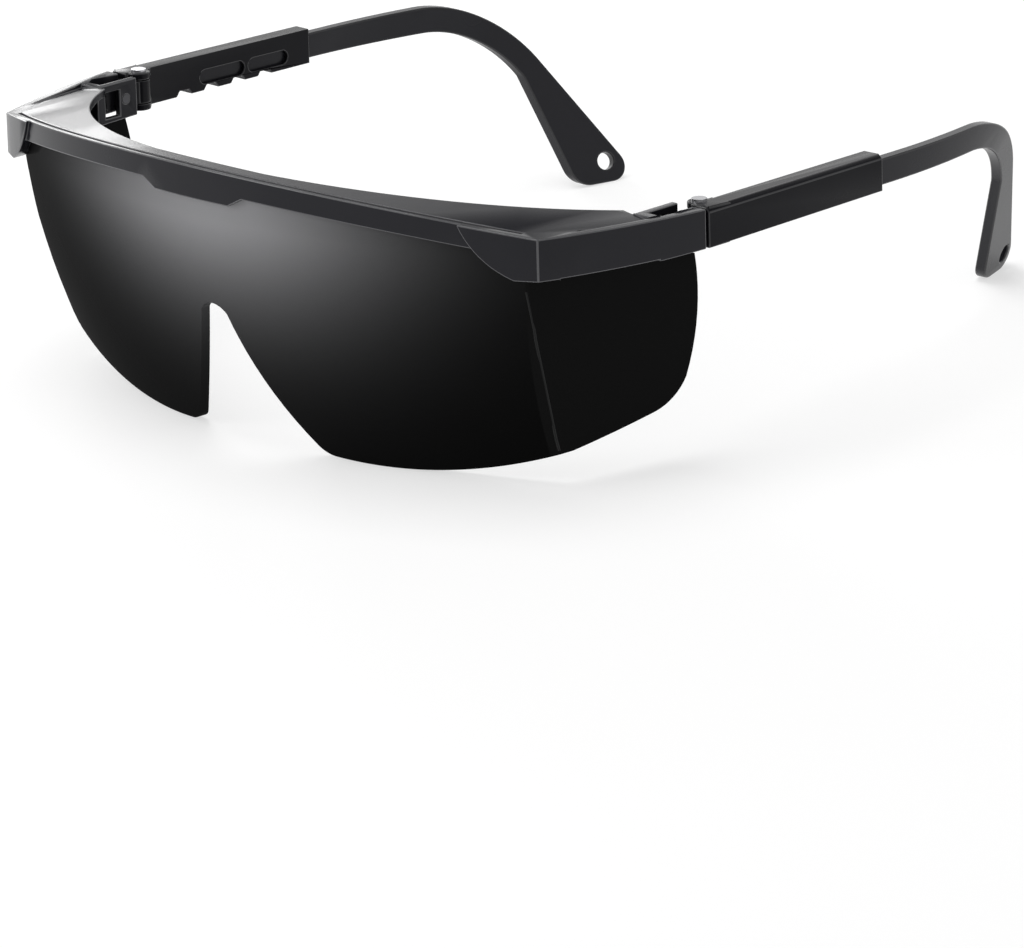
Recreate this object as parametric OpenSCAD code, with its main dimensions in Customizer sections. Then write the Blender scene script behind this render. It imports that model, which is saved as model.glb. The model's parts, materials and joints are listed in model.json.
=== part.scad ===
// Wrap-around dark safety goggles with telescopic, tilting, folding temples.
// Everything is modelled as worn: X to the wearer's left, Y to the back, Z up, with the zero at the
// height of the front corners. stand() then sets the goggles down on a table, on lens and temple tips.

/* [Lens] */
// Horizontal radius of the lens front, at its most forward height
lens_r = 138; // [132:1:150]
// Vertical radius of the lens front
lens_rv = 129; // [115:1:150]
// Height at which the lens front is vertical
lens_crest_z = 8.6; // [7:0.2:10]
// Thickness of the lens
lens_t = 2; // [1.5:0.1:2.4]
// Lowest height of the two lens lobes
lens_low_z = -49.4; // [-54:0.1:-46]
// Radius of the lower edge of a lobe
lobe_r = 104; // [95:0.5:115]
// Distance from the middle to the lowest point of a lobe
lobe_x = 27; // [24:0.5:30]
// Height of the top of the nose notch
notch_top_z = -21.2; // [-25:0.1:-18]
// Radius at the top of the nose notch
notch_r = 4.3; // [3.5:0.1:5]
// Radius of the flared sides of the nose notch
notch_flare_r = 89; // [80:1:100]
// Radius of the rounded lobe corners beside the nose
lobe_corner_r = 4.5; // [3:0.5:6]
// Width of the bevel along the bend between lens and side shield
bend_w = 1.4; // [0.8:0.1:2]
// Radius of the side shield, seen from above
shield_r = 140; // [120:1:180]
// Vertical radius of the side shield
shield_rv = 200; // [180:1:230]
// Furthest back that the side shield reaches
shield_back_y = 34.4; // [33.5:0.1:36]
// Height of the shield's lower edge under the temple hinge
shield_low_z = -37; // [-40:0.1:-34]
// Radius of the shield's lower back corner
shield_corner_r = 9; // [6:0.5:12]

/* [Frame] */
// Width over the two front corners
corner_w = 140; // [136:0.5:146]
// How far the front of the lens stands ahead of the corners
brow_rise = 17.3; // [16.5:0.1:18]
// Height of the top edge in the middle, above the corners
brow_arch = 5.3; // [4:0.1:6.5]
// Thickness of the brow band in front of the lens
band_t = 0.9; // [0.7:0.1:1.4]
// Height of the brow band
band_h = 4.1; // [3.5:0.1:5]
// Extra depth of the band's middle step
step_h = 1.9; // [1:0.1:3]
// Width of the middle step at its foot
step_w = 19.1; // [14:0.1:26]
// Width that each ramp of the middle step adds
step_ramp = 3.7; // [2:0.1:6]
// How much thicker the corner flares are than the band
flare_t = 0.8; // [0.4:0.1:1.2]
// Radius of the curved edge of a corner flare
flare_r = 18; // [16:0.5:22]
// Height of the frame's corners
corner_h = 7.7; // [7:0.1:8.2]
// Thickness of the ledge over the lens
ledge_t = 1.6; // [1.2:0.1:2]
// Radius of the opening in the ledge, seen from above
ledge_r = 81; // [76:0.5:90]
// Depth of the ledge in the middle
ledge_d = 4.1; // [3.6:0.1:6]
// Thickness of the frame's side walls
wall_t = 2; // [1.6:0.1:2.4]
// Gap between the lens and the frame that holds it
seat_gap = 0.1; // [0.05:0.01:0.15]

/* [Hinges] */
// Distance from the corners back to the end of the frame's sides
side_l = 33; // [32:0.1:35]
// Width over the two hinge ends of the frame
hinge_w = 157.2; // [150:0.2:162]
// How far the frame's sides bulge from corner to hinge
side_bulge = 1.1; // [0.5:0.1:2]
// Height of the frame's sides at the hinge
side_h = 7.3; // [7:0.1:7.6]
// Width of the frame's end at the hinge
end_w = 8.2; // [7.8:0.1:9]
// Thickness of the cheek outside the tilt block
cheek_t = 3.1; // [2.6:0.1:3.4]
// Width of the tilt block
block_w = 3.4; // [3:0.1:3.6]
// Side clearance of the tilt block in its pocket
block_gap = 0.15; // [0.1:0.05:0.25]
// Height of the tilt block
block_h = 4.4; // [4:0.1:4.6]
// Diameter of the tilt pin
tilt_pin_d = 1.8; // [1.5:0.1:2]
// Diameter of the temple hinge pin
hinge_pin_d = 1.6; // [1.4:0.1:1.8]
// Diameter of the hinge knuckles
knuckle_d = 4.4; // [4:0.1:4.6]
// Radial clearance between a pin and what turns on it
pin_gap = 0.05; // [0.02:0.01:0.08]
// Number of ratchet teeth on the tilt block
ratchet_teeth = 5; // [4:1:6]

/* [Temples] */
// Toe-in angle of the temples
toe_in = 1.6; // [0:0.1:4]
// Length of the sleeve behind the frame's side
sleeve_l = 47; // [44:0.2:52]
// Thickness of the sleeve
sleeve_t = 4.4; // [4.2:0.1:4.8]
// Height of the sleeve at its back end
sleeve_back_h = 6.9; // [6.7:0.1:7.2]
// Gap between the frame's side and the sleeve
hinge_gap = 0.8; // [0.7:0.1:1]
// Thickness of the ear piece
ear_t = 2.4; // [2.2:0.1:2.8]
// Height of the ear piece
ear_h = 4.9; // [4.4:0.1:5]
// Running clearance of the ear piece in the sleeve
slide_gap = 0.1; // [0.05:0.01:0.15]
// Length of the ear piece inside the sleeve
ear_in = 31; // [27:0.5:31]
// Angle by which the axis of the ear piece's inward curve leans back
ear_lean = 46.7; // [30:0.1:55]
// Radius of the inward curve
ear_curve_r = 70.5; // [60:0.5:90]
// Angle that the inward curve turns through
ear_turn = 24.6; // [15:0.2:28]
// Distance from the sleeve's end to the start of the downward bend
ear_level = 28.9; // [24:0.1:36]
// Radius of the downward bend, on the centre line
ear_bend_r = 24.1; // [20:0.1:28]
// Angle of the downward bend
ear_bend = 61.3; // [50:0.1:70]
// Length of the drop behind the bend, down to the cord hole
ear_drop = 22; // [18:0.1:27]
// Width of the ear piece's flared tip
tip_w = 10.8; // [9.5:0.1:11.5]
// Diameter of the cord hole in the tip
cord_hole_d = 3.5; // [2.5:0.1:4]
// Pitch of the length notches in the sleeve
notch_pitch = 6.9; // [6.4:0.1:7]

/* [Hidden] */
$fn = 96;
far = 200;
join = 0.1;

// Plan of the lens: the axis of the front barrel, and two points on the side shield at shield_ref_z.
lens_axis_y = lens_r - brow_rise;
corner_x = corner_w / 2;
hinge_x = hinge_w / 2;
shield_front = [corner_x - 3.6, 1.5];
shield_end = [hinge_x - 2.6, side_l + 1];
shield_ref_z = -8.5;
shield_chord = shield_end - shield_front;
shield_axis = (shield_front + shield_end) / 2
    - right_of(shield_chord) * sqrt(pow(shield_ref_r(), 2) - pow(norm(shield_chord) / 2, 2));

// Lower and back edge of the shield, seen from the side; it starts where the lobe meets the bend.
bend_foot_z = lobe_edge_z(bend_point(lens_low_z)[0]);
bend_foot_y = bend_point(bend_foot_z)[1];
shield_low_y = side_l - 3;
shield_slope = (shield_low_z - bend_foot_z) / (shield_low_y - bend_foot_y);
shield_back_r = 60;
shield_gap = 0.5;

// The bevel along the bend lies across the normals of both barrels.
bend_ref = bend_point(shield_ref_z);
front_normal = (bend_ref - [0, lens_axis_y]) / norm(bend_ref - [0, lens_axis_y]);
shield_normal = (bend_ref - shield_axis) / norm(bend_ref - shield_axis);
bend_cos = norm(front_normal + shield_normal) / 2;
bend_depth = bend_w / 2 * sqrt(1 - bend_cos * bend_cos) / bend_cos;
bend_rv = 2 * bend_cos / (1 / lens_rv + 1 / shield_rv);

// The nose notch's flared side, and the round that joins it to the lobe's lower edge.
notch_flare_z = 4.7;
lobe_centre = [lobe_x, lens_low_z + lobe_r];
notch_top = [notch_r, notch_top_z - notch_r];
notch_flare_h = notch_flare_z - notch_top[1];
notch_flare = [
    notch_r + sqrt(notch_flare_r * notch_flare_r - notch_flare_h * notch_flare_h), notch_flare_z,
];
lobe_corner = circles_meet(
    lobe_centre, lobe_r - lobe_corner_r, notch_flare, notch_flare_r - lobe_corner_r
);

// Arch of the brow, and the circle that carries its top edge.
arch_r = (corner_x * corner_x + brow_arch * brow_arch) / (2 * brow_arch);
step_foot_z = brow_arch - band_h - step_h;

// The rib behind the lens, clear of the lens's back over its whole height.
rib_t = 1.2;
rib_end = corner_x - 20;
rib_low_z = brow_arch - arch_r + sqrt(arch_r * arch_r - rib_end * rib_end) - band_h;
rib_r = lens_inside_r(rib_low_z) - seat_gap;

// Groove along the top of the brow, behind its front lip.
groove_w = 0.6;
groove_h = 0.5;
groove_end = 4;

// Side wall: an arc from the front corner to the hinge that bulges out of its chord.
side_chord = [hinge_x - corner_x, side_l];
side_r = (pow(norm(side_chord) / 2, 2) + side_bulge * side_bulge) / (2 * side_bulge);
side_centre = [corner_x, 0] + side_chord / 2 - right_of(side_chord) * (side_r - side_bulge);
side_top_z = 0.1;
side_mid_z = side_top_z - side_h / 2;

// Tilt block, its pocket and its two pins.
pocket_w = block_w + 2 * block_gap;
pocket_x = hinge_x - cheek_t - pocket_w / 2;
pocket_l = 8;
pocket_wall = 1.2;
tilt_y = side_l - 2.8;
tilt_z = side_mid_z;
tilt_range = 8;
ratchet_r = 4.4;
ratchet_depth = 0.4;
ratchet_span = 56;
hinge_axis_x = pocket_x;
hinge_axis_y = side_l + 3.5;
lug_gap = 0.15;
boss_l = 4.4;

// Sleeve and ear piece, along the temple's own straight line.
sleeve_front_y = side_l + hinge_gap;
ear_top = 1.3;
ear_mid_z = -ear_top - ear_h / 2;
ear_wall = 0.9;
ear_mid_x = -ear_wall - slide_gap - ear_t / 2;
cavity_w = ear_t + 2 * slide_gap;
cavity_h = ear_h + 2 * slide_gap;
relief_r = knuckle_d / 2 + 0.3;
window_h = 2.7;
window_z = ear_mid_z - 0.7;
window_from = [18.7, 31.1];
window_to = [30.1, 41.3];
notch_w = 2.2;
notch_slope = 0.7;
notch_count = 4;
notch_first = 14.6;
cavity_y = 8.6;
sleeve_bevel = 0.8;

// A point of the temple's own plan, seen in the plan of the whole.
function temple_point(p) = [
    hinge_x + p[0] * cos(toe_in) - p[1] * sin(toe_in),
    sleeve_front_y + p[0] * sin(toe_in) + p[1] * cos(toe_in),
];

// How far the side of a barrel has drawn in at height dz from its crest, and the barrels' radii there.
function barrel_sag(rv, dz) = rv - sqrt(rv * rv - dz * dz);
function lens_front_r(z) = lens_r - barrel_sag(lens_rv, z - lens_crest_z);
function lens_inside_r(z) = lens_r - lens_t - barrel_sag(lens_rv - lens_t, z - lens_crest_z);
function shield_ref_r() = shield_r - barrel_sag(shield_rv, shield_ref_z - lens_crest_z);

// Unit vector to the right of v, where two circles meet to the right of the line a to b, and the unit
// vector from their centres to the line that touches both circles there.
function right_of(v) = [v[1], -v[0]] / norm(v);
function circles_meet(a, ra, b, rb) =
    let (d = norm(b - a), x = (d * d + ra * ra - rb * rb) / (2 * d))
    a + (b - a) / d * x + right_of(b - a) * sqrt(ra * ra - x * x);
function touch(a, ra, b, rb) =
    let (d = norm(b - a), s = (ra - rb) / d)
    (b - a) / d * s + right_of(b - a) * sqrt(1 - s * s);

// The bend between front and shield at height z, and the lobe's lower edge at distance x.
function bend_point(z) = circles_meet(
    shield_axis, shield_r - barrel_sag(shield_rv, z - lens_crest_z),
    [0, lens_axis_y], lens_front_r(z)
);
function lobe_edge_z(x) = lens_low_z + lobe_r - sqrt(lobe_r * lobe_r - pow(x - lobe_x, 2));

// The ear piece from the side: its downward bend, the drop behind it, the cord hole, and the two
// rounds of the flared tip.
ear_bend_mid = [sleeve_l + ear_level, ear_mid_z - ear_bend_r];
ear_down = [cos(ear_bend), -sin(ear_bend)];
ear_up = [sin(ear_bend), cos(ear_bend)];
drop_from = ear_bend_mid + ear_bend_r * ear_up;
cord_hole_at = drop_from + ear_drop * ear_down;
tip_r = 3.2;
tip_at = cord_hole_at + 0.6 * ear_down;
heel_r = 3.8;
heel_at = cord_hole_at - 2 * ear_down - (tip_w - tip_r - heel_r) * ear_up;

// Its inward curve runs along a leaning line that goes back and down; the rest of the drop is flat. The
// slack lets the round cross the flats beside it instead of just touching them.
curve_from = 3.3;
curve_slack = 0.01;
curve_slack_turn = 0.5;
flat_from = [ear_mid_x - ear_curve_r * (1 - cos(ear_turn)), curve_from + ear_curve_r * sin(ear_turn)];

// How far point p of the side view lies along the leaning line, and the flat drop's place there; out is
// the distance outside the middle of its thickness.
function lean_line(p) = (p - [sleeve_l, ear_mid_z]) * [cos(ear_lean), -sin(ear_lean)];
function drop_x(p, out = 0) =
    flat_from[0] + out / cos(ear_turn) - (lean_line(p) - flat_from[1]) * tan(ear_turn);

// A point of the flat drop's outer face, in Y and Z of the whole.
function drop_face(p) = [temple_point([drop_x(p, ear_t / 2), p[0]])[1], side_top_z + p[1]];

// Standing on the table: the lens's back lower edge and the two tips touch it.
tip_mid = drop_face(tip_at - [0, tip_r]) + [0, tip_r];
lens_foot = [lens_axis_y - sqrt(pow(lens_inside_r(lens_low_z), 2) - lobe_x * lobe_x), lens_low_z];
foot_span = tip_mid - lens_foot;
stand_pitch = atan2(foot_span[1], foot_span[0]) - asin(tip_r / norm(foot_span));
stand_lift = lens_foot[0] * sin(stand_pitch) - lens_foot[1] * cos(stand_pitch);
stand_back = [cos(stand_pitch), sin(stand_pitch)];
front_y = -(brow_rise + seat_gap + band_t) * cos(stand_pitch) + step_foot_z * sin(stand_pitch);
back_y = drop_face(tip_at + tip_r * stand_back) * stand_back;

module stand() {
    translate([0, -(front_y + back_y) / 2, stand_lift]) rotate([-stand_pitch, 0, 0]) children();
}

module both_sides() {
    children();
    mirror([1, 0, 0]) children();
}

// A solid drum whose side is an arc: horizontal radius r at height crest_z, vertical radius rv.
module barrel(r, rv, crest_z, grow = 0) {
    rotate_extrude($fn = 180) intersection() {
        translate([r - rv, crest_z]) circle(rv + grow, $fn = 180);
        translate([0, -70]) square([r + 5, 90]);
    }
}

module front_barrel(grow = 0) {
    translate([0, lens_axis_y, 0]) barrel(lens_r, lens_rv, lens_crest_z, grow);
}

module side_barrel(grow = 0) {
    translate([shield_axis[0], shield_axis[1], 0]) barrel(shield_r, shield_rv, lens_crest_z, grow);
}

// A third barrel bevels the bend between the two.
module bend_barrel() {
    ref_r = shield_r - barrel_sag(bend_rv, shield_ref_z - lens_crest_z);
    across = (front_normal + shield_normal) / (2 * bend_cos);
    axis = bend_ref - across * (ref_r + bend_depth);
    translate([axis[0], axis[1], 0]) barrel(shield_r, bend_rv, lens_crest_z);
}

module lens_body(grow = 0) {
    intersection() {
        front_barrel(grow);
        side_barrel(grow);
        mirror([1, 0, 0]) side_barrel(grow);
    }
}

// Lens outline seen from the front, in X and Z. The sharp lobe corner is cut off along the rounding
// circle's two touching points, and the circle fills the rest.
module lobe_outline() {
    on_lobe = (lobe_corner - lobe_centre) / norm(lobe_corner - lobe_centre) * lobe_corner_r;
    on_flare = (lobe_corner - notch_flare) / norm(lobe_corner - notch_flare) * lobe_corner_r;
    past = 4;
    difference() {
        intersection() {
            translate(notch_flare) circle(notch_flare_r, $fn = 180);
            translate(lobe_centre) circle(lobe_r, $fn = 180);
            translate([0, -60]) square([90, 80]);
        }
        polygon([
            lobe_corner + on_lobe, lobe_corner + past * on_lobe,
            lobe_corner + past * on_flare, lobe_corner + on_flare,
        ]);
    }
    translate(lobe_corner) circle(lobe_corner_r);
}

module lens_outline() {
    intersection() {
        union() {
            both_sides() lobe_outline();
            difference() {
                translate([-notch_r - 1, notch_top[1]]) square([2 * notch_r + 2, 40]);
                translate([0, notch_top[1]]) circle(notch_r);
            }
        }
        translate([0, brow_arch - arch_r]) circle(arch_r - ledge_t - seat_gap, $fn = 720);
    }
}

// Side shield outline seen from the side, in Y and Z: a rising lower edge, a round corner, a bowed back.
module shield_outline() {
    corner = [shield_back_y - shield_corner_r - 0.4, 0];
    corner_z = shield_edge_z(corner[0]) + shield_corner_r / cos(atan(shield_slope));
    difference() {
        intersection() {
            polygon([[-30, 20], [-30, shield_edge_z(-30)], [60, shield_edge_z(60)], [60, 20]]);
            translate([shield_back_y - shield_back_r, shield_low_z + 15]) circle(shield_back_r);
        }
        difference() {
            translate([corner[0] + 0.27 * shield_corner_r, corner_z - 30]) square(30);
            translate([corner[0], corner_z]) circle(shield_corner_r);
        }
        translate([side_l - pocket_l - 2.2, side_top_z - side_h - shield_gap]) square(30);
        translate([tilt_y - 1, side_top_z - side_h - shield_gap]) rotate(-tilt_range - 2) square(30);
    }
}

function shield_edge_z(y) = shield_low_z + shield_slope * (y - shield_low_y);

module lens() stand() color([0.05, 0.05, 0.06]) {
    difference() {
        intersection() {
            lens_body();
            both_sides() bend_barrel();
            translate([0, far, 0]) rotate([90, 0, 0]) linear_extrude(2 * far) lens_outline();
            union() {
                both_sides() translate([corner_x - 8.5, 0, 0]) rotate([90, 0, 90])
                    linear_extrude(30) shield_outline();
                translate([8 - corner_x, -30, -60]) cube([corner_w - 16, 80, 80]);
            }
        }
        lens_body(-lens_t);
    }
}

// Frame: plan of its outside.
module frame_plan(front_r) {
    intersection() {
        translate([0, lens_axis_y]) circle(front_r, $fn = 360);
        both_walls();
        translate([-far / 2, -40]) square([far, 40 + side_l]);
    }
}

module both_walls(inset = 0) {
    intersection() {
        translate(side_centre) circle(side_r - inset, $fn = 360);
        translate([-side_centre[0], side_centre[1]]) circle(side_r - inset, $fn = 360);
    }
}

module ledge_opening() {
    translate([0, ledge_r + ledge_d - brow_rise - band_t]) circle(ledge_r, $fn = 240);
    translate([end_w - hinge_x, side_l - 10]) square([hinge_w - 2 * end_w, 20]);
}

// Everything between two heights that both follow the brow's arch.
module under_arch(top = 0, h = 20) {
    translate([0, far, 0]) rotate([90, 0, 0]) linear_extrude(2 * far) difference() {
        translate([0, brow_arch - arch_r]) circle(arch_r - top, $fn = 720);
        translate([0, brow_arch - arch_r]) circle(arch_r - top - h, $fn = 720);
    }
}

module step_outline() {
    top = brow_arch - 1;
    foot = step_w / 2;
    polygon([
        [-foot - step_ramp, step_foot_z + step_h], [-foot, step_foot_z],
        [foot, step_foot_z], [foot + step_ramp, step_foot_z + step_h], [foot, top], [-foot, top],
    ]);
}

module flare_outline() {
    both_sides() intersection() {
        translate([corner_x + 3.1, 8.8]) circle(flare_r);
        translate([corner_x - 16, -corner_h]) square([16 + 8, 12]);
    }
}

module frame() stand() color([0.12, 0.12, 0.14]) {
    difference() {
        union() {
            brow_band();
            corner_flares();
            ledge();
            rear_rib();
            both_sides() side_wall();
            both_sides() hinge_end();
        }
        both_sides() tilt_pocket();
        brow_groove();
    }
}

module brow_groove() {
    intersection() {
        translate([0, lens_axis_y, -20]) linear_extrude(40) difference() {
            circle(lens_r + seat_gap, $fn = 360);
            circle(lens_r + seat_gap - groove_w, $fn = 360);
        }
        under_arch(-1, groove_h + 1);
        translate([groove_end - corner_x, -40, -10]) cube([corner_w - 2 * groove_end, 60, 30]);
    }
}

module front_ring(r) {
    difference() {
        translate([0, 0, -20]) linear_extrude(40) frame_plan(r);
        front_barrel(seat_gap);
    }
}

module brow_band() {
    intersection() {
        front_ring(lens_r + seat_gap + band_t);
        union() {
            under_arch(0, band_h);
            translate([0, far, 0]) rotate([90, 0, 0]) linear_extrude(2 * far) step_outline();
        }
    }
}

module corner_flares() {
    intersection() {
        front_ring(lens_r + seat_gap + band_t + flare_t);
        under_arch(0, 20);
        translate([0, far, 0]) rotate([90, 0, 0]) linear_extrude(2 * far) flare_outline();
    }
}

module ledge() {
    intersection() {
        translate([0, 0, -20]) linear_extrude(40) difference() {
            frame_plan(lens_r + seat_gap + band_t);
            ledge_opening();
        }
        under_arch(0, ledge_t);
    }
}

module rear_rib() {
    intersection() {
        translate([0, lens_axis_y, -20]) linear_extrude(40) difference() {
            circle(rib_r, $fn = 360);
            circle(rib_r - rib_t, $fn = 360);
        }
        under_arch(0, band_h);
        translate([-rib_end, -40, -10]) cube([2 * rib_end, 60, 30]);
    }
}

// Side wall seen from the side: its top rises and its foot rises towards the hinge.
module side_profile(from_y) {
    rotate([90, 0, 90]) linear_extrude(120) polygon([
        [from_y, -corner_h], [from_y, 0.0], [side_l, side_top_z], [side_l, side_top_z - side_h],
    ]);
}

module side_wall() {
    intersection() {
        translate([0, 0, -20]) linear_extrude(40) difference() {
            frame_plan(lens_r + seat_gap + band_t + flare_t);
            both_walls(wall_t);
        }
        side_profile(-5);
        translate([corner_x - 4, -20, -20]) cube([40, 80, 40]);
    }
}

// The block that holds the tilt pocket. Its cheek is never thinner than the pocket's own wall.
module hinge_end() {
    intersection() {
        translate([0, 0, -20]) linear_extrude(40) {
            difference() {
                frame_plan(lens_r + 5);
                translate([-far / 2, -far]) square([far, far + side_l - pocket_l - 2]);
                translate([-far / 2, -far / 2]) square([far / 2 + hinge_x - end_w, far]);
            }
            translate([pocket_x, side_l - pocket_l - pocket_wall])
                square([pocket_w / 2 + pocket_wall, pocket_l + pocket_wall]);
        }
        side_profile(side_l - pocket_l - 4);
    }
}

module tilt_pocket() {
    translate([pocket_x - pocket_w / 2, side_l - pocket_l, -10]) cube([pocket_w, pocket_l + 1, 20]);
    translate([pocket_x - 6, side_l - pocket_l, side_top_z - side_h + 0.7])
        cube([6, pocket_l - boss_l, side_h - 2.2]);
    translate([pocket_x - 4, tilt_y, tilt_z]) rotate([0, 90, 0]) cylinder(d = tilt_pin_d, h = 6.8);
}

module tilt_pin() color([0.75, 0.75, 0.78]) {
    inner = hinge_x - end_w;
    outer = pocket_x + 2.8;
    translate([inner, tilt_y, tilt_z]) rotate([0, 90, 0]) cylinder(d = tilt_pin_d, h = outer - inner);
}

module tilt_block() color([0.1, 0.1, 0.11]) {
    difference() {
        union() {
            translate([pocket_x - block_w / 2, tilt_y, tilt_z]) rotate([0, 90, 0])
                ratchet_wheel();
            translate([pocket_x - block_w / 2, tilt_y, tilt_z - block_h / 2])
                cube([block_w, hinge_axis_y - tilt_y, block_h]);
            translate([hinge_axis_x, hinge_axis_y, tilt_z - block_h / 2])
                cylinder(d = knuckle_d, h = block_h);
        }
        translate([pocket_x - far / 2, tilt_y, tilt_z]) rotate([0, 90, 0])
            cylinder(d = tilt_pin_d + 2 * pin_gap, h = far);
        translate([hinge_axis_x, hinge_axis_y, tilt_z - 10]) cylinder(d = hinge_pin_d, h = 20);
    }
}

// The block's front is a toothed sector, turned about the tilt pin.
module ratchet_wheel() {
    linear_extrude(block_w) difference() {
        intersection() {
            circle(ratchet_r);
            rotate([0, 0, 180]) square([block_h, 2 * ratchet_r + 2], center = true);
            translate([-block_h, -2 * ratchet_r]) square([2 * block_h, 2 * ratchet_r + 1]);
        }
        for (i = [0:ratchet_teeth - 1])
            rotate([0, 0, -90 + ratchet_span * (i / (ratchet_teeth - 1) - 0.5)])
                translate([ratchet_r + 0.1, 0]) rotate([0, 0, 45])
                    square(2 * ratchet_depth, center = true);
    }
}

module hinge_pin() color([0.8, 0.8, 0.82]) {
    top_z = side_top_z + 0.1;
    translate([hinge_axis_x, hinge_axis_y, side_top_z - side_h + 0.2])
        cylinder(d = hinge_pin_d, h = side_h - 0.2);
    translate([hinge_axis_x, hinge_axis_y, top_z - 0.1]) cylinder(d = 2.8, h = 0.5);
}

// The temple's own frame: zero at the outer front edge of the sleeve, Y along the temple.
module along_temple() {
    translate([hinge_x, sleeve_front_y, side_top_z]) rotate([0, 0, toe_in]) children();
}

module temple_sleeve() color([0.12, 0.12, 0.14]) {
    difference() {
        union() {
            along_temple() difference() {
                sleeve_block();
                sleeve_cavity();
                sleeve_windows();
                sleeve_notches();
            }
            for (z = [side_top_z - lug_h(), side_top_z - side_h])
                translate([0, 0, z]) linear_extrude(lug_h()) lug_plan();
        }
        translate([hinge_axis_x, hinge_axis_y, tilt_z - block_h / 2 - lug_gap])
            knuckle_relief(block_h + 2 * lug_gap);
        translate([hinge_axis_x, hinge_axis_y, -20])
            cylinder(d = hinge_pin_d + 2 * pin_gap, h = 40);
    }
}

function lug_h() = (side_h - block_h) / 2 - lug_gap;

module lug_plan() {
    translate([hinge_axis_x, hinge_axis_y]) circle(d = knuckle_d);
    translate([hinge_axis_x, hinge_axis_y - knuckle_d / 2])
        square([hinge_x - hinge_axis_x - 0.6, knuckle_d + 1]);
}

module knuckle_relief(h) {
    cylinder(r = relief_r, h = h);
    translate([-10, -10, 0]) cube([10 + relief_r, 10, h]);
    translate([-10, -10, 0]) cube([10, 10 + relief_r, h]);
}

module sleeve_block() {
    difference() {
        rotate([90, 0, 90]) translate([0, 0, -sleeve_t]) linear_extrude(sleeve_t) polygon([
            [0, 0], [sleeve_l, 0], [sleeve_l, -sleeve_back_h], [0, -side_h],
        ]);
        translate([-sleeve_bevel, -1, 0]) rotate([0, 45, 0]) cube([2 * sleeve_bevel, sleeve_l + 2, 2]);
    }
}

module sleeve_cavity() {
    translate([ear_mid_x - cavity_w / 2, cavity_y, -ear_top - cavity_h + slide_gap])
        cube([cavity_w, sleeve_l, cavity_h]);
}

module sleeve_windows() {
    for (i = [0, 1])
        translate([-sleeve_t - 1, window_from[i] + window_h / 2, window_z]) rotate([90, 0, 90])
            linear_extrude(sleeve_t / 2 + 1) {
                straight = window_to[i] - window_from[i] - window_h;
                circle(d = window_h);
                translate([straight, 0]) circle(d = window_h);
                translate([0, -window_h / 2]) square([straight, window_h]);
            }
}

// The notches open downward, wider at the mouth.
module sleeve_notches() {
    top = -ear_top - ear_h + 0.1;
    for (i = [0:notch_count - 1])
        translate([-sleeve_t - 1, notch_first + i * notch_pitch, 0]) rotate([90, 0, 90])
            linear_extrude(sleeve_t + 1 - ear_wall) polygon([
                [-notch_w / 2, top], [notch_w / 2, top],
                [notch_w / 2 + 2 * notch_slope, top - 2], [-notch_w / 2 - 2 * notch_slope, top - 2],
            ]);
}

// Ear piece: its side view times its inward curve.
module ear_piece() color([0.12, 0.12, 0.14]) along_temple() {
    difference() {
        intersection() {
            rotate([90, 0, 90]) translate([0, 0, -far / 2]) linear_extrude(far) ear_side();
            translate([0, sleeve_l, ear_mid_z]) rotate([-ear_lean, 0, 0])
                translate([0, 0, -far / 2]) linear_extrude(far) ear_curve();
        }
        translate([drop_x(cord_hole_at), cord_hole_at[0], cord_hole_at[1]])
            rotate([-ear_lean, 0, 0]) rotate([90, 0, 90 + ear_turn])
                cylinder(d = cord_hole_d, h = 4 * ear_t, center = true);
    }
}

module ear_side() {
    reach = 2 * ear_bend_r;
    translate([sleeve_l - ear_in, ear_mid_z - ear_h / 2]) square([ear_in + ear_level, ear_h]);
    translate(ear_bend_mid) intersection() {
        difference() {
            circle(ear_bend_r + ear_h / 2);
            circle(ear_bend_r - ear_h / 2);
        }
        polygon([[0, 0], [0, reach], [reach, reach], reach * ear_up]);
    }
    drop_outline();
}

// Straight edges from the bend to the flared tip's two rounds.
module drop_outline() {
    start = drop_from - join * ear_down;
    low = start - ear_h / 2 * ear_up;
    top = start + ear_h / 2 * ear_up;
    heel_out = touch(low, 0, heel_at, heel_r);
    foot_out = touch(heel_at, heel_r, tip_at, tip_r);
    back_out = touch(tip_at, tip_r, top, 0);
    polygon([
        low, heel_at + heel_r * heel_out, heel_at + heel_r * foot_out,
        tip_at + tip_r * foot_out, tip_at + tip_r * back_out, top,
    ]);
    translate(tip_at) circle(tip_r);
    translate(heel_at) circle(heel_r);
}

// The strap's thickness along the leaning line: straight in the sleeve, then curved, then flat.
module ear_curve() {
    difference() {
        curve_inside(ear_t / 2);
        curve_inside(-ear_t / 2);
    }
}

// All that lies inside the curve at distance out from its middle: two flats and the round between them.
module curve_inside(out) {
    reach = 2 * ear_curve_r;
    past = ear_turn + curve_slack_turn;
    difference() {
        intersection() {
            translate([-far, -ear_in]) square([far + ear_mid_x + out, far]);
            translate(flat_from) rotate(ear_turn) translate([-far, -far]) square([far + out, 2 * far]);
        }
        translate([ear_mid_x - ear_curve_r, curve_from]) difference() {
            polygon([
                [0, 0], reach * [cos(curve_slack_turn), -sin(curve_slack_turn)],
                reach * [cos(past), sin(past)],
            ]);
            circle(ear_curve_r + out + curve_slack, $fn = 360);
        }
    }
}

module left() stand() children();
module right() stand() mirror([1, 0, 0]) children();

frame();
lens();
left() tilt_pin();  // tilt_pin_left
right() tilt_pin();  // tilt_pin_right
left() tilt_block();  // tilt_block_left
right() tilt_block();  // tilt_block_right
left() hinge_pin();  // hinge_pin_left
right() hinge_pin();  // hinge_pin_right
left() temple_sleeve();  // temple_sleeve_left
right() temple_sleeve();  // temple_sleeve_right
left() ear_piece();  // ear_piece_left
right() ear_piece();  // ear_piece_right
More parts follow.
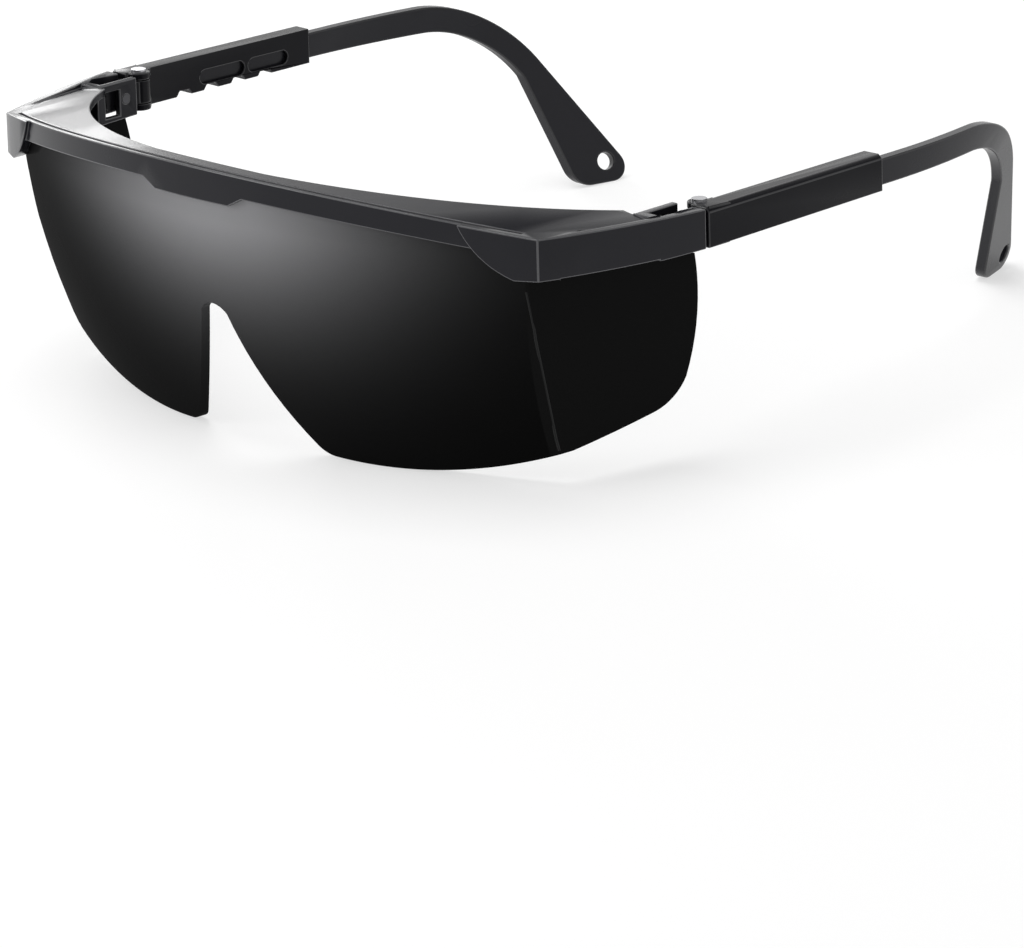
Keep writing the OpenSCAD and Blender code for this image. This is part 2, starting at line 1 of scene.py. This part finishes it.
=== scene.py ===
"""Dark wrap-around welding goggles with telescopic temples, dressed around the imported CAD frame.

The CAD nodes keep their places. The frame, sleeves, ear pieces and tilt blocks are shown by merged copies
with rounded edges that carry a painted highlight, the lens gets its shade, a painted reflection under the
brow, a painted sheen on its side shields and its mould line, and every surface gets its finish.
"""
import json
import math

import bpy
from mathutils import Matrix, Vector
from mathutils.bvhtree import BVHTree


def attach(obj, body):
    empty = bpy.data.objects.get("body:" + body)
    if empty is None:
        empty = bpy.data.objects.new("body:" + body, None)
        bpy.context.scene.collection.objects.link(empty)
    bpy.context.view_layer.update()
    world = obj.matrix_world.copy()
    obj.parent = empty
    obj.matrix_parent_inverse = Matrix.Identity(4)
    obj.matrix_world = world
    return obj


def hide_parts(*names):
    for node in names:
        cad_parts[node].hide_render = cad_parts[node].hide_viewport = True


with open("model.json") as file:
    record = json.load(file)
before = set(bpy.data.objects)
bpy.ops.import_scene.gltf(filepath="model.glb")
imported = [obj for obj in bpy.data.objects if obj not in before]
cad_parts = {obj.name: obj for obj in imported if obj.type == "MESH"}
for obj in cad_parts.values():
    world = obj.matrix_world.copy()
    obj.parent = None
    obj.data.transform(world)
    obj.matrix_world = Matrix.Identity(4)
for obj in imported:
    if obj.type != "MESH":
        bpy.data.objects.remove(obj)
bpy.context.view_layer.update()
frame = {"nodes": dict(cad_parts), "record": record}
bpy.ops.object.select_all(action="DESELECT")
NODES = frame["nodes"]

MM = 0.001
SIDES = ("left", "right")
# The goggles as worn, set down on the table: turned forward about X, then moved, as part.scad does.
STAND_PITCH = math.radians(4.18567)
STAND_MOVE = Vector((0, -61.4482, 49.3955))

# The photograph's camera, in the worn frame: azimuth, elevation and roll in degrees, the aim across and
# up in millimetres, the distance in millimetres, and the focal length in pixels of the 1024-wide frame.
WIDE, HIGH = 1024, 948
CAM_AZ, CAM_EL, CAM_ROLL = 45.3151, 17.2945, -1.5136
CAM_ACROSS, CAM_UP, CAM_FAR, CAM_FOCAL = 44.79, -54.17, 1316.8, 7298
# The sensor's width in millimetres, and the nearest and furthest that the camera sees, in metres.
SENSOR = 36
CAM_NEAREST, CAM_FURTHEST = 0.05, 50


def stood(point):
    """A point of the worn frame, in millimetres, in the row frame, in metres."""
    return (Matrix.Rotation(-STAND_PITCH, 3, "X") @ Vector(point) + STAND_MOVE) * MM


def place_camera():
    """The camera of the photograph's upper view, with its aim, roll and focal length."""
    az, el, roll = (math.radians(a) for a in (CAM_AZ, CAM_EL, CAM_ROLL))
    back = Vector((math.sin(az) * math.cos(el), -math.cos(az) * math.cos(el), math.sin(el)))
    level = Vector((math.cos(az), math.sin(az), 0))
    upright = back.cross(level)
    across = level * math.cos(roll) + upright * math.sin(roll)
    up = upright * math.cos(roll) - level * math.sin(roll)
    spot = across * CAM_ACROSS + up * CAM_UP + back * CAM_FAR
    turn = Matrix.Rotation(-STAND_PITCH, 3, "X") @ Matrix((across, up, back)).transposed()
    data = bpy.data.cameras.new("photo_camera")
    data.sensor_fit = "AUTO"
    data.sensor_width = SENSOR
    data.lens = CAM_FOCAL / WIDE * SENSOR
    data.clip_start, data.clip_end = CAM_NEAREST, CAM_FURTHEST
    camera = bpy.data.objects.new("photo_camera", data)
    camera.matrix_world = Matrix.Translation(stood(spot)) @ turn.to_4x4()
    bpy.context.scene.collection.objects.link(camera)
    bpy.context.scene.camera = camera
    return camera


camera = place_camera()


def image_ray(x, y):
    """The camera's place, and the way from it through a point of the photograph's frame."""
    data, side = camera.data, max(WIDE, HIGH)
    way = Vector((x - WIDE / 2 + data.shift_x * side, HIGH / 2 - y + data.shift_y * side,
                  -side * data.lens / data.sensor_width))
    return camera.matrix_world.translation.copy(), (camera.matrix_world.to_3x3() @ way).normalized()


def image_point(place):
    """Where a place shows in the photograph's frame."""
    data, side = camera.data, max(WIDE, HIGH)
    spot = camera.matrix_world.inverted() @ Vector(place)
    scale = side * data.lens / data.sensor_width / -spot.z
    x = spot.x * scale + WIDE / 2 - data.shift_x * side
    y = HIGH / 2 - spot.y * scale + data.shift_y * side
    return x, y


def tree_of(*pieces):
    """One BVH of finished pieces, which all have their place in their mesh."""
    spots, faces = [], []
    for piece in pieces:
        start = len(spots)
        spots += [vertex.co.copy() for vertex in piece.data.vertices]
        faces += [[start + corner for corner in face.vertices] for face in piece.data.polygons]
    return BVHTree.FromPolygons(spots, faces)


# How often a miss is drawn nearer to its ray.
NEAREST_STEPS = 20


def on_surface(tree, x, y):
    """The place and normal of a surface under an image point; a miss takes the place nearest the ray."""
    start, way = image_ray(x, y)
    place, normal, _, _ = tree.ray_cast(start, way)
    if place is None:
        far = start + way * start.length
        for _ in range(NEAREST_STEPS):
            place, normal, _, _ = tree.find_nearest(far)
            far = start + way * (place - start).dot(way)
    return place, normal


def worn(place):
    """A place of the row frame, in metres, in the worn frame, in millimetres."""
    return Matrix.Rotation(STAND_PITCH, 3, "X") @ (Vector(place) / MM - STAND_MOVE)


# The photograph's points, in its own frame.
POINTS = {
    "object_left": (7, None), "object_right": (1015, None),
    "object_top": (None, 6), "object_bottom": (None, 470),
    "cord_hole_right": (603.8, 162), "cord_hole_left": (1001.9, 250.5),
    "right_tip_side": (626, 165), "right_tip_foot": (590.6, 185.5), "left_tip_foot": (986.6, 277.6),
    "notch_top": (212, 303), "nose_lobe": (193.5, 415), "shield_back": (698, None),
    "sleeve_end_right": (309, 29), "sleeve_end_left": (882.5, 158.5),
    "bend_top": (525, 287), "bend_foot": (560, 455.9),
}


# ---------------------------------------------------------------- shader groups
def new_group(name, inputs, outputs):
    """An empty shader node group with its named sockets, and its input and output nodes."""
    group = bpy.data.node_groups.new(name, "ShaderNodeTree")
    for label, kind, value in inputs:
        socket = group.interface.new_socket(label, in_out="INPUT", socket_type=kind)
        socket.default_value = value
    for label, kind in outputs:
        group.interface.new_socket(label, in_out="OUTPUT", socket_type=kind)
    return group, group.nodes.new("NodeGroupInput"), group.nodes.new("NodeGroupOutput")


def add(tree, kind, **settings):
    """A new node; in_Name=value sets an input socket, and any other setting is the node's own."""
    node = tree.nodes.new(kind)
    for key, value in settings.items():
        if key.startswith("in_"):
            node.inputs[key[3:].replace("_", " ")].default_value = value
        else:
            setattr(node, key, value)
    return node


def moulded_skin():
    """Fine spark-eroded grain of a moulded part, with broad cloudy patches in its gloss."""
    group, given, made = new_group(
        "moulded_skin",
        [("Grain Size", "NodeSocketFloat", 1400), ("Patch Size", "NodeSocketFloat", 60),
         ("Base Roughness", "NodeSocketFloat", 0.35), ("Roughness Spread", "NodeSocketFloat", 0.08)],
        [("Height", "NodeSocketFloat"), ("Roughness", "NodeSocketFloat"), ("Patches", "NodeSocketFloat")])
    place = add(group, "ShaderNodeTexCoord")
    grain = add(group, "ShaderNodeTexNoise", in_Detail=3, in_Roughness=0.6)
    patch = add(group, "ShaderNodeTexNoise", in_Detail=2, in_Roughness=0.5)
    spread = add(group, "ShaderNodeMath", operation="MULTIPLY")
    centred = add(group, "ShaderNodeMath", operation="SUBTRACT")
    centred.inputs[1].default_value = 0.5
    total = add(group, "ShaderNodeMath", operation="ADD")
    link = group.links.new
    for noise, size in ((grain, "Grain Size"), (patch, "Patch Size")):
        link(place.outputs["Object"], noise.inputs["Vector"])
        link(given.outputs[size], noise.inputs["Scale"])
    link(patch.outputs["Fac"], centred.inputs[0])
    link(centred.outputs[0], spread.inputs[0])
    link(given.outputs["Roughness Spread"], spread.inputs[1])
    link(spread.outputs[0], total.inputs[0])
    link(given.outputs["Base Roughness"], total.inputs[1])
    link(grain.outputs["Fac"], made.inputs["Height"])
    link(total.outputs[0], made.inputs["Roughness"])
    link(patch.outputs["Fac"], made.inputs["Patches"])
    return group


SKIN = moulded_skin()


# Depth of the moulded grain, in metres, and roughness of the lens's thin gloss.
GRAIN_DEPTH = 0.00005
COAT_ROUGHNESS = 0.1


def moulded(name, dark, light, roughness, spread, grain, bump, specular=0.5, coat=0.0, metallic=0.0):
    """A moulded plastic or metal: two close shades in cloudy patches, under fine grain."""
    material = bpy.data.materials.new(name)
    material.use_nodes = True
    tree = material.node_tree
    shader = tree.nodes["Principled BSDF"]
    skin = add(tree, "ShaderNodeGroup", node_tree=SKIN)
    skin.inputs["Grain Size"].default_value = grain
    skin.inputs["Base Roughness"].default_value = roughness
    skin.inputs["Roughness Spread"].default_value = spread
    tint = add(tree, "ShaderNodeMix", data_type="RGBA")
    tint.inputs["A"].default_value = (*dark, 1)
    tint.inputs["B"].default_value = (*light, 1)
    relief = add(tree, "ShaderNodeBump", in_Strength=bump, in_Distance=GRAIN_DEPTH)
    link = tree.links.new
    link(skin.outputs["Patches"], tint.inputs["Factor"])
    link(tint.outputs["Result"], shader.inputs["Base Color"])
    link(skin.outputs["Roughness"], shader.inputs["Roughness"])
    link(skin.outputs["Height"], relief.inputs["Height"])
    link(relief.outputs["Normal"], shader.inputs["Normal"])
    shader.inputs["Specular IOR Level"].default_value = specular
    shader.inputs["Coat Weight"].default_value = coat
    shader.inputs["Coat Roughness"].default_value = COAT_ROUGHNESS
    shader.inputs["Metallic"].default_value = metallic
    return material


# The mould line between front and side shield runs down the bend of the lens, here in the worn frame.
LENS_TREE = tree_of(NODES["lens"])
BEND_TOP = worn(on_surface(LENS_TREE, *POINTS["bend_top"])[0])
BEND_FOOT = worn(on_surface(LENS_TREE, *POINTS["bend_foot"])[0])
# Where the side shield's painted sheen starts and is full, in millimetres beyond that line.
SHIELD_SHEEN_FADE = (-0.1, 0.2)
# The grey of the side shield's painted sheen, and the share of full gloss that the lens has.
SHIELD_SHEEN_GREY, LENS_GLOSS = 0.0055, 0.05
# The painted reflection on the shade, a soft grey patch in its base colour, in the worn frame, millimetres:
# its middle, half width, top and height.
REFLECTION_MID, REFLECTION_WIDE, REFLECTION_TOP, REFLECTION_HIGH = 3, 33, -4.4, 13
# How it falls off downward, its grey, and how much bluer than grey it is.
REFLECTION_FALL, REFLECTION_GREY, REFLECTION_COOL = 1.3, 0.28, 1.03


def lens_with_painted_reflection():
    """Near-black welding shade, with a painted soft grey reflection under the middle of the brow and a
    painted sheen of even grey on the side shields.
    """
    material = moulded("lens_black", (0.0012, 0.0012, 0.0012), (0.002, 0.002, 0.002),
                       0.3, 0.03, 500, bump=0.0, specular=0.0, coat=LENS_GLOSS)
    tree = material.node_tree
    link = tree.links.new
    shader = tree.nodes["Principled BSDF"]
    place = add(tree, "ShaderNodeTexCoord")
    level = add(tree, "ShaderNodeMapping", vector_type="POINT")
    level.inputs["Scale"].default_value = (1 / MM,) * 3
    level.inputs["Rotation"].default_value = (STAND_PITCH, 0, 0)
    level.inputs["Location"].default_value = -(Matrix.Rotation(STAND_PITCH, 3, "X") @ STAND_MOVE)
    axes = add(tree, "ShaderNodeSeparateXYZ")
    link(place.outputs["Object"], level.inputs["Vector"])
    link(level.outputs["Vector"], axes.inputs["Vector"])

    def maths(operation, *values):
        node = add(tree, "ShaderNodeMath", operation=operation)
        for socket, value in zip(node.inputs, values):
            if isinstance(value, (int, float)):
                socket.default_value = value
            else:
                link(value, socket)
        return node.outputs[0]

    # A painted reflection: a soft grey patch mixed into the base colour under the middle of the brow,
    # fading sideways and downward.
    aside = maths("DIVIDE", maths("SUBTRACT", axes.outputs["X"], REFLECTION_MID), REFLECTION_WIDE)
    drop = maths("MAXIMUM", maths("SUBTRACT", REFLECTION_TOP, axes.outputs["Z"]), 0)
    below = maths("DIVIDE", drop, REFLECTION_HIGH)
    fall = maths("ADD", maths("MULTIPLY", aside, aside), maths("POWER", below, REFLECTION_FALL))
    painted_reflection = maths("EXPONENT", maths("MULTIPLY", fall, -1))
    reflection_mix = add(tree, "ShaderNodeMix", data_type="RGBA")
    base = shader.inputs["Base Color"].links[0].from_socket
    link(base, reflection_mix.inputs["A"])
    reflection_mix.inputs["B"].default_value = (REFLECTION_GREY, REFLECTION_GREY, REFLECTION_GREY * REFLECTION_COOL, 1)
    link(painted_reflection, reflection_mix.inputs["Factor"])
    # A painted sheen: past the mould line the side shields are painted an even grey, lighter than the front
    # of the same lens.
    lean = (BEND_FOOT.x - BEND_TOP.x) / (BEND_FOOT.z - BEND_TOP.z)
    bend = maths("ADD", maths("MULTIPLY", axes.outputs["Z"], lean), BEND_TOP.x - lean * BEND_TOP.z)
    beyond = maths("SUBTRACT", maths("ABSOLUTE", axes.outputs["X"]), bend)
    shield_sheen = add(tree, "ShaderNodeMapRange", interpolation_type="SMOOTHSTEP")
    link(beyond, shield_sheen.inputs["Value"])
    shield_sheen.inputs["From Min"].default_value, shield_sheen.inputs["From Max"].default_value = SHIELD_SHEEN_FADE
    side = add(tree, "ShaderNodeMix", data_type="RGBA")
    link(reflection_mix.outputs["Result"], side.inputs["A"])
    side.inputs["B"].default_value = (SHIELD_SHEEN_GREY, SHIELD_SHEEN_GREY, SHIELD_SHEEN_GREY, 1)
    link(shield_sheen.outputs["Result"], side.inputs["Factor"])
    link(side.outputs["Result"], shader.inputs["Base Color"])
    return material


# Finishes: dark and light shade, roughness and its spread, grain and its strength, specular level.
FRAME_BLACK = moulded("frame_black", (0.011, 0.011, 0.014), (0.016, 0.016, 0.020),
                      0.20, 0.06, 1800, 0.2, 0.17)
SLEEVE_BLACK = moulded("sleeve_black", (0.005, 0.005, 0.007), (0.009, 0.009, 0.011),
                       0.22, 0.06, 1800, 0.2, 0.10)
STRAP_BLACK = moulded("strap_black", (0.010, 0.010, 0.013), (0.015, 0.015, 0.019),
                      0.26, 0.08, 1500, 0.2, 0.22)
FOLD_BLACK = moulded("fold_black", (0.005, 0.005, 0.005), (0.007, 0.007, 0.007), 0.2, 0.05, 800, 0.05, 0.15)
# The frame's rounded edges are painted much lighter than the frame: a painted highlight along every edge.
FRAME_EDGE_HIGHLIGHT = moulded("frame_edge_highlight", (0.06, 0.06, 0.065), (0.12, 0.12, 0.125), 0.25, 0.10, 1500, 0.1, 0.4)
# The rounded edges of sleeves, ear pieces and tilt blocks are painted a little lighter than those parts: a
# painted highlight.
ARM_EDGE_HIGHLIGHT = moulded("arm_edge_highlight", (0.012, 0.012, 0.014), (0.035, 0.035, 0.038), 0.22, 0.08, 1500, 0.1, 0.4)
LENS_BLACK = lens_with_painted_reflection()
PIN_STEEL = moulded("pin_steel", (0.50, 0.50, 0.52), (0.62, 0.62, 0.64), 0.3, 0.15, 2500, 0.2, metallic=1)
PIN_DARK = moulded("pin_dark", (0.05, 0.05, 0.055), (0.09, 0.09, 0.095), 0.35, 0.15, 2500, 0.2, metallic=1)

FINISH = {"frame": FRAME_BLACK, "lens": LENS_BLACK}
BODY = {"frame": "root"}
for side in SIDES:
    FINISH["tilt_pin_" + side] = PIN_DARK
    FINISH["hinge_pin_" + side] = PIN_STEEL
    FINISH["tilt_block_" + side] = SLEEVE_BLACK
    FINISH["temple_sleeve_" + side] = SLEEVE_BLACK
    FINISH["ear_piece_" + side] = STRAP_BLACK
    BODY["temple_sleeve_" + side] = "temple_" + side
    BODY["ear_piece_" + side] = "ear_piece_" + side
    BODY["tilt_block_" + side] = "tilt_block_" + side
for name, node in NODES.items():
    node.data.materials.clear()
    node.data.materials.append(FINISH[name])


# ---------------------------------------------------------------- moulded pieces with softened edges
# Vertices within this distance are merged, in metres.
MERGE = 0.000002
# In degrees: turns that count as flat, as an edge to round over, and as smooth.
FLAT_TURN, EDGE_TURN, SMOOTH_TURN = 1.2, 28, 24
EDGE_SEGMENTS = 2


def softened(name, width, edge_highlight):
    """A merged copy of a CAD node with its sharp edges rounded over and given a lighter material as a
    painted highlight, which stands for the node.
    """
    node = NODES[name]
    piece = node.copy()
    piece.data = node.data.copy()
    piece.name = piece.data.name = name + "_moulding"
    piece.data.materials.append(edge_highlight)
    bpy.context.scene.collection.objects.link(piece)
    bpy.ops.object.select_all(action="DESELECT")
    piece.select_set(True)
    bpy.context.view_layer.objects.active = piece
    bpy.ops.object.mode_set(mode="EDIT")
    bpy.ops.mesh.select_all(action="SELECT")
    bpy.ops.mesh.remove_doubles(threshold=MERGE)
    bpy.ops.mesh.dissolve_limited(angle_limit=math.radians(FLAT_TURN))
    bpy.ops.object.mode_set(mode="OBJECT")
    edge = piece.modifiers.new("edge_round", "BEVEL")
    edge.limit_method = "ANGLE"
    edge.angle_limit = math.radians(EDGE_TURN)
    edge.width = width
    edge.segments = EDGE_SEGMENTS
    edge.use_clamp_overlap = False
    edge.material = len(piece.data.materials) - 1
    bpy.ops.object.modifier_apply(modifier=edge.name)
    bpy.ops.object.shade_smooth_by_angle(angle=math.radians(SMOOTH_TURN))
    bpy.ops.object.select_all(action="DESELECT")
    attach(piece, BODY[name])
    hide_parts(name)


# Widths of the rounded edges, in metres; the edges carry a painted highlight.
softened("frame", 0.00022, FRAME_EDGE_HIGHLIGHT)
for side in SIDES:
    softened("temple_sleeve_" + side, 0.00020, ARM_EDGE_HIGHLIGHT)
    softened("ear_piece_" + side, 0.00030, ARM_EDGE_HIGHLIGHT)
    softened("tilt_block_" + side, 0.00015, ARM_EDGE_HIGHLIGHT)


# ---------------------------------------------------------------- the fold between lens and side shield
# Its radius and how deep its middle line lies in the lens, in metres.
FOLD_R, FOLD_SUNK = 0.00030, 0.00022
# Its points, its roundness, the share of the bend left free at either end, and its smooth turn in degrees.
FOLD_POINTS, FOLD_ROUND, FOLD_FREE, FOLD_SMOOTH_TURN = 14, 3, 0.03, 40


def lens_fold():
    """The rounded mould line down the bend of the lens, and its mirror image on the other side."""
    top, foot = POINTS["bend_top"], POINTS["bend_foot"]
    bpy.ops.curve.primitive_nurbs_path_add()
    line = bpy.context.object
    line.name = "lens_fold_left"
    line.data.splines.clear()
    run = line.data.splines.new("POLY")
    run.points.add(FOLD_POINTS - 1)
    for number, point in enumerate(run.points):
        share = FOLD_FREE + (1 - 2 * FOLD_FREE) * number / (FOLD_POINTS - 1)
        place, normal = on_surface(LENS_TREE, *(a + (b - a) * share for a, b in zip(top, foot)))
        point.co = (*(place - normal * FOLD_SUNK), 1)
    line.data.dimensions = "3D"
    line.data.bevel_depth = FOLD_R
    line.data.bevel_resolution = FOLD_ROUND
    line.data.use_fill_caps = True
    bpy.ops.object.convert(target="MESH")
    pieces = [bpy.context.object]
    bpy.ops.object.duplicate()
    pieces.append(bpy.context.object)
    pieces[1].name = "lens_fold_right"
    for vertex in pieces[1].data.vertices:
        vertex.co.x *= -1
    for piece in pieces:
        bpy.ops.object.select_all(action="DESELECT")
        piece.select_set(True)
        bpy.context.view_layer.objects.active = piece
        bpy.ops.object.mode_set(mode="EDIT")
        bpy.ops.mesh.select_all(action="SELECT")
        bpy.ops.mesh.remove_doubles(threshold=MERGE)
        bpy.ops.mesh.normals_make_consistent(inside=False)
        bpy.ops.object.mode_set(mode="OBJECT")
        bpy.ops.object.shade_smooth_by_angle(angle=math.radians(FOLD_SMOOTH_TURN))
        piece.data.materials.clear()
        piece.data.materials.append(FOLD_BLACK)
        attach(piece, "root")
    bpy.ops.object.select_all(action="DESELECT")


lens_fold()

# ---------------------------------------------------------------- floor and light
# The card's side, in metres.
FLOOR_SIZE = 8
# The card's own white, what the camera sees of it, and how far that is lifted.
FLOOR_WHITE, FLOOR_SEEN, FLOOR_LIFT = 0.88, 0.42, 0.60
CARD_ROUGHNESS, CARD_SPECULAR = 0.8, 0.1
# The sky's brightness at the low and the high end of its fade, and the sines of those ends' elevations.
SKY_BRIGHT, SKY_DIM = 1.0, 0.25
SKY_LOW, SKY_HIGH = 0.22, 0.60


def floor_material():
    """White card: what the camera and gloss see of it is lifted to white, and it keeps the shadow."""
    material = bpy.data.materials.new("table_white")
    material.use_nodes = True
    tree = material.node_tree
    shader = tree.nodes["Principled BSDF"]
    shader.inputs["Roughness"].default_value = CARD_ROUGHNESS
    shader.inputs["Specular IOR Level"].default_value = CARD_SPECULAR
    rays = add(tree, "ShaderNodeLightPath")
    seen = add(tree, "ShaderNodeMath", operation="MAXIMUM")
    through = add(tree, "ShaderNodeMath", operation="MAXIMUM")
    lift = add(tree, "ShaderNodeMath", operation="MULTIPLY")
    paper = add(tree, "ShaderNodeMix", data_type="RGBA")
    tree.links.new(rays.outputs["Is Camera Ray"], seen.inputs[0])
    tree.links.new(rays.outputs["Is Glossy Ray"], seen.inputs[1])
    tree.links.new(seen.outputs[0], through.inputs[0])
    tree.links.new(rays.outputs["Is Transmission Ray"], through.inputs[1])
    tree.links.new(through.outputs[0], lift.inputs[0])
    tree.links.new(through.outputs[0], paper.inputs["Factor"])
    paper.inputs["A"].default_value = (FLOOR_WHITE, FLOOR_WHITE, FLOOR_WHITE, 1)
    paper.inputs["B"].default_value = (FLOOR_SEEN, FLOOR_SEEN, FLOOR_SEEN, 1)
    lift.inputs[1].default_value = FLOOR_LIFT
    shader.inputs["Emission Color"].default_value = (1, 1, 1, 1)
    tree.links.new(paper.outputs["Result"], shader.inputs["Base Color"])
    tree.links.new(lift.outputs[0], shader.inputs["Emission Strength"])
    return material


bpy.ops.mesh.primitive_plane_add(size=FLOOR_SIZE, location=(0, 0, 0))
floor = bpy.context.object
floor.name = "table_top"
floor.data.materials.append(floor_material())
bpy.ops.object.select_all(action="DESELECT")


def soft_light(name, spot, aim, size, radiance):
    """A rectangular soft box whose face has the given radiance."""
    data = bpy.data.lights.new(name, "AREA")
    data.shape = "RECTANGLE"
    data.size, data.size_y = size
    data.energy = radiance * math.pi * size[0] * size[1]
    lamp = bpy.data.objects.new(name, data)
    lamp.location = spot
    lamp.rotation_euler = (Vector(aim) - Vector(spot)).to_track_quat("-Z", "Y").to_euler()
    bpy.context.scene.collection.objects.link(lamp)


soft_light("overhead_box", (-0.25, -0.1, 1.5), (0, 0, 0), (1.1, 1.1), 3.6)
soft_light("back_box", (-0.475, 0.185, 0.19), (-0.125, -0.055, 0.04), (0.22, 0.20), 4.5)
soft_light("key_box", (-0.75, -1.15, 0.75), (0, 0, 0.03), (0.6, 0.6), 3.8)


def sky():
    """A plain white room that the camera sees as white, and that gets dimmer with height for the pieces."""
    world = bpy.data.worlds.new("studio")
    bpy.context.scene.world = world
    world.use_nodes = True
    tree = world.node_tree
    link = tree.links.new
    sheet = tree.nodes["Background"]
    place = add(tree, "ShaderNodeTexCoord")
    axes = add(tree, "ShaderNodeSeparateXYZ")
    climb = add(tree, "ShaderNodeMapRange")
    link(place.outputs["Generated"], axes.inputs["Vector"])
    link(axes.outputs["Z"], climb.inputs["Value"])
    climb.inputs["From Min"].default_value, climb.inputs["From Max"].default_value = SKY_LOW, SKY_HIGH
    climb.inputs["To Min"].default_value, climb.inputs["To Max"].default_value = SKY_BRIGHT, SKY_DIM
    rays = add(tree, "ShaderNodeLightPath")
    pick = add(tree, "ShaderNodeMix", data_type="FLOAT")
    link(rays.outputs["Is Camera Ray"], pick.inputs["Factor"])
    link(climb.outputs["Result"], pick.inputs["A"])
    pick.inputs["B"].default_value = 1
    sheet.inputs["Color"].default_value = (1, 1, 1, 1)
    link(pick.outputs["Result"], sheet.inputs["Strength"])


sky()

bpy.context.scene.view_settings.view_transform = "Standard"


# ---------------------------------------------------------------- where things show
# The object's edges as ways across and down, and the corners that are looked for near their image point.
EDGES = {"object_left": (-1, 0), "object_right": (1, 0), "object_top": (0, -1), "object_bottom": (0, 1)}
CORNERS = {
    "right_tip_side": ("ear_piece_right_moulding", 1, 0),
    "right_tip_foot": ("ear_piece_right_moulding", 0, 1),
    "left_tip_foot": ("ear_piece_left_moulding", 0, 1),
    "nose_lobe": ("lens", 0, 1),
    "sleeve_end_left": ("temple_sleeve_left_moulding", 1, -0.5),
    "sleeve_end_right": ("temple_sleeve_right_moulding", 1, -0.5),
}
# How far from its image point a corner is looked for, in pixels.
SEARCH = 16
# How far off the surface a ray starts, in metres.
RAY_CLEAR = 0.00005


def shown():
    """The finished pieces' vertices that the camera sees, as image points, by piece."""
    bpy.context.view_layer.update()
    pieces = [o for o in bpy.context.scene.objects
              if o.type == "MESH" and not o.hide_render and o.name != "table_top"]
    tree = tree_of(*pieces)
    eye = camera.matrix_world.translation
    seen = {}
    for piece in pieces:
        seen[piece.name] = []
        for vertex in piece.data.vertices:
            way = (eye - vertex.co).normalized()
            if tree.ray_cast(vertex.co + way * RAY_CLEAR, way)[0] is None:
                seen[piece.name].append(image_point(vertex.co))
    return seen


def furthest(points, across, down):
    """The point that lies furthest in a direction, or nothing where no point shows."""
    return max(points, key=lambda p: p[0] * across + p[1] * down, default=(None, None))


def write_points():
    """Works out how far each thing shows from its image point, in x and y, and keeps none of it; it never
    stops the script.
    """
    seen = shown()
    whole = [point for points in seen.values() for point in points]
    found = {}
    for name, (across, down) in EDGES.items():
        x, y = furthest(whole, across, down)
        found[name] = (x, None) if across else (None, y)
    found["shield_back"] = (furthest(seen["lens"], 1, 0)[0], None)
    for name, (piece, across, down) in CORNERS.items():
        near = [p for p in seen[piece] if math.dist(p, POINTS[name]) < SEARCH]
        found[name] = furthest(near, across, down)
    notch = POINTS["notch_top"]
    found["notch_top"] = min(seen["lens"], key=lambda p: math.dist(p, notch), default=(None, None))
    found["bend_top"], found["bend_foot"] = image_point(stood(BEND_TOP)), image_point(stood(BEND_FOOT))
    for mount in frame["record"]["mounts"]:
        found[mount["name"]] = image_point(mount["pos_m"])
    for name, point in POINTS.items():
        pairs = zip(found[name], point)
        [None if None in pair else round(pair[0] - pair[1], 1) for pair in pairs]


write_points()
